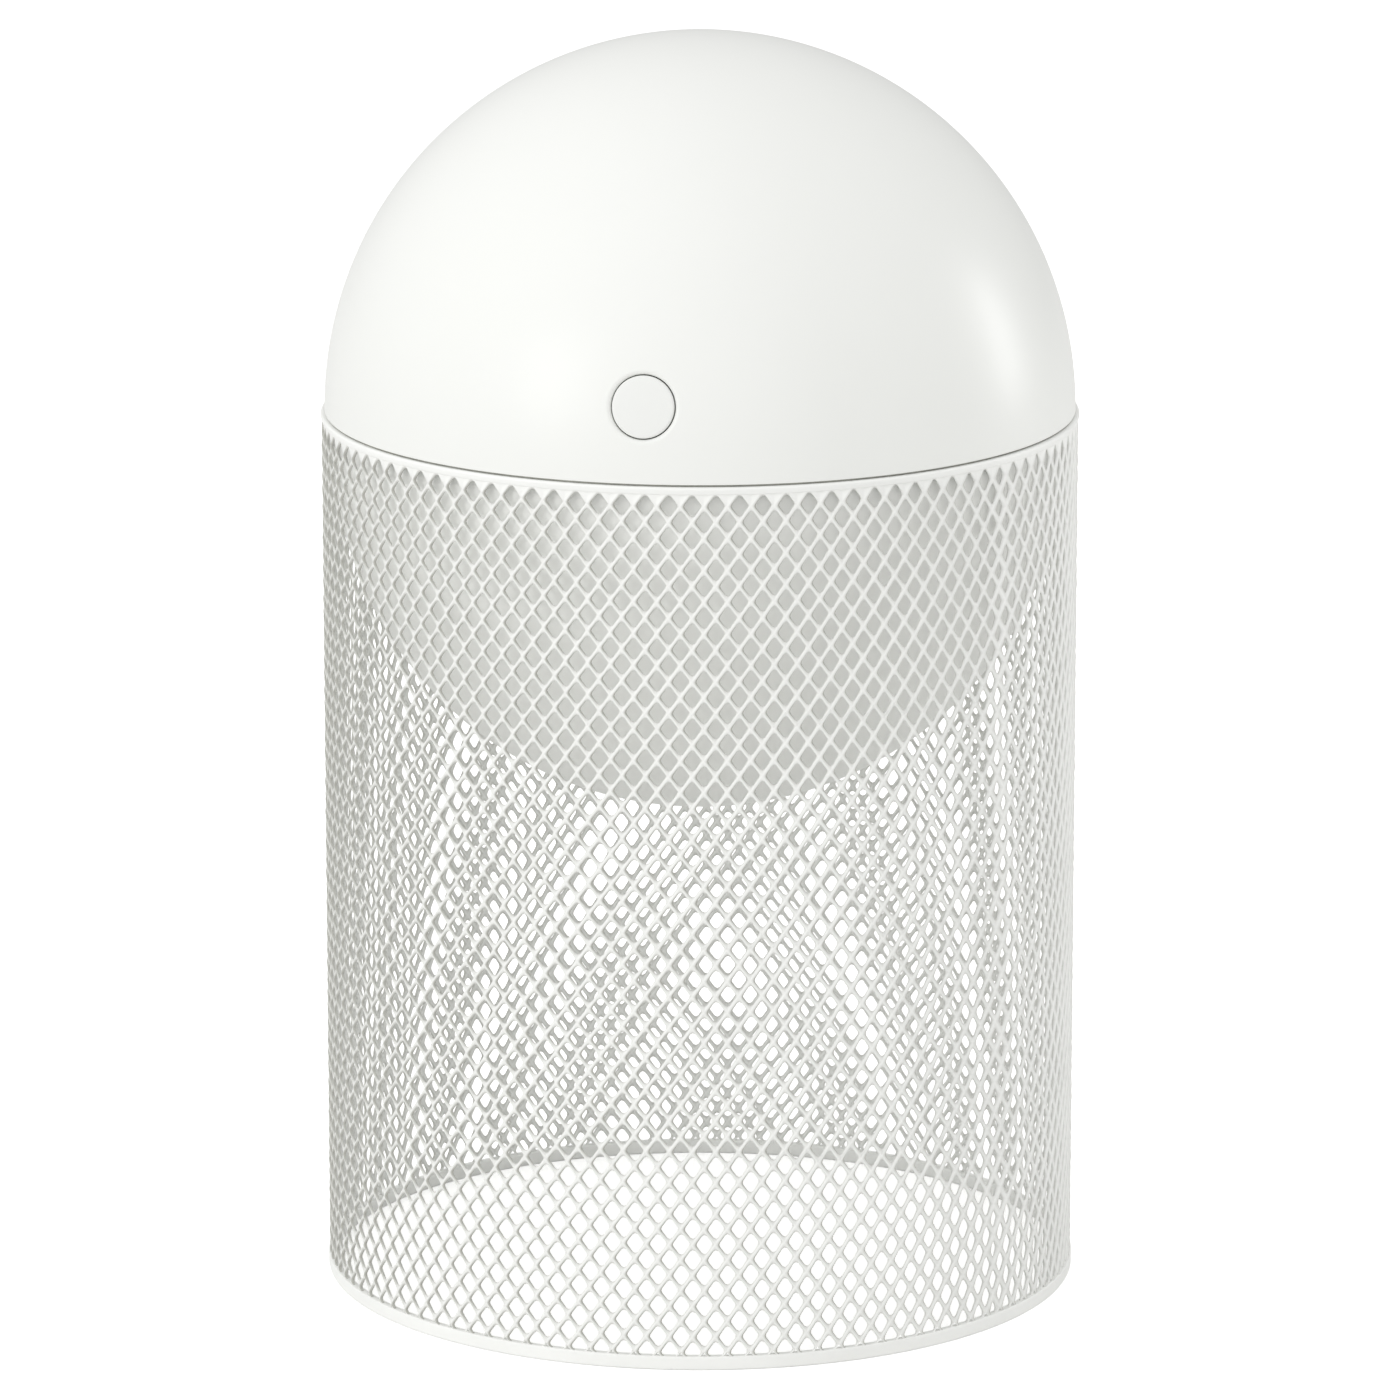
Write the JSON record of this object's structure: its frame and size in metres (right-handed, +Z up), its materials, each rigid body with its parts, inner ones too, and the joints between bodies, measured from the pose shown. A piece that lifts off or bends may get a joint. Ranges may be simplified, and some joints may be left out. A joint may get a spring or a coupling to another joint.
{
  "type": "electric bug zapper",
  "caption": "Free-standing lantern-shaped bug zapper: a round two-shell head with a push button hangs in a white expanded-mesh sleeve and lifts out.",
  "frame": {"origin": "centre of the sleeve's base, on the surface that it stands on", "axes": "+Z up along the sleeve's axis; the power button faces -Y and the charging port +Y; +X is to the right seen from the button"},
  "size_m": [0.15, 0.15, 0.25],
  "materials": {
    "white_shell": "satin injection-moulded ABS, faint moulding texture, soft highlights",
    "white_bowl": "smooth satin-matt moulded plastic, a little greyer than the dome",
    "powder_coat": "satin white powder coat over expanded steel sheet, thicker in the corners",
    "grey_plastic": "moulded nylon, matt",
    "black_plastic": "black moulded plastic, matt",
    "dark_rubber": "soft silicone rubber",
    "white_rubber": "soft white thermoplastic rubber, matt",
    "circuit_board": "green solder mask on glass-fibre board with printed pads",
    "led_board": "white solder mask",
    "steel": "plated steel",
    "electrode_steel": "stamped stainless steel",
    "cell_wrap": "heat-shrunk sleeve with a plain metal cap",
    "copper": "enamelled copper winding under clear tape",
    "capacitor_film": "dipped epoxy",
    "window_clear": "clear polycarbonate",
    "led_clear": "clear tinted epoxy",
    "lead_red": "silicone-insulated wire",
    "lead_black": "silicone-insulated wire",
    "lead_grey": "twin ribbon lead"
  },
  "bodies": {
    "guard": {"mesh_guard": "powder_coat"},
    "head": {"upper_dome": "white_shell", "lower_bowl": "white_bowl", "seat_gasket": "dark_rubber", "chassis_plate": "grey_plastic", "chassis_screw_1": "steel", "chassis_screw_2": "steel", "chassis_screw_3": "steel", "chassis_screw_4": "steel", "battery_holder": "black_plastic", "battery_cell_1": "cell_wrap", "battery_cell_2": "cell_wrap", "main_board": "circuit_board", "usb_c_socket": "steel", "transformer_core": "black_plastic", "transformer_winding": "copper", "hv_capacitor": "capacitor_film", "storage_capacitor": "black_plastic", "charge_chip": "black_plastic", "control_chip": "black_plastic", "button_bracket": "grey_plastic", "button_board": "circuit_board", "tact_switch": "black_plastic", "grid_carrier": "grey_plastic", "electrode_positive": "electrode_steel", "electrode_negative": "electrode_steel", "uv_window": "window_clear", "uv_led_board": "led_board", "uv_led_1": "led_clear", "uv_led_2": "led_clear", "uv_led_3": "led_clear", "uv_led_4": "led_clear", "uv_led_5": "led_clear", "uv_led_6": "led_clear", "port_grille": "white_bowl", "port_screw_1": "steel", "port_screw_2": "steel", "port_screw_3": "steel", "battery_lead_positive": "lead_red", "battery_lead_negative": "lead_black", "button_lead": "lead_grey", "led_lead": "lead_grey", "hv_lead_positive": "lead_red", "hv_lead_negative": "lead_black"},
    "button": {"power_button": "white_shell"},
    "port_cover": {"charge_port_cover": "white_rubber"}
  },
  "joints": [
    {"name": "head_lift", "type": "slide", "parent": "guard", "child": "head", "axis": [0, 0, 1], "range_m": [0, 0.08]},
    {"name": "button_press", "type": "slide", "parent": "head", "child": "button", "axis": [0, 0.9808, -0.1951], "range_m": [0, 0.001], "stiffness_N_per_m": 1800, "springref_m": -0.0003},
    {"name": "port_cover_open", "type": "hinge", "parent": "head", "child": "port_cover", "pos_m": [0, 0.07349, 0.1799], "axis": [-1, 0, 0], "range_deg": [0, 100]}
  ]
}
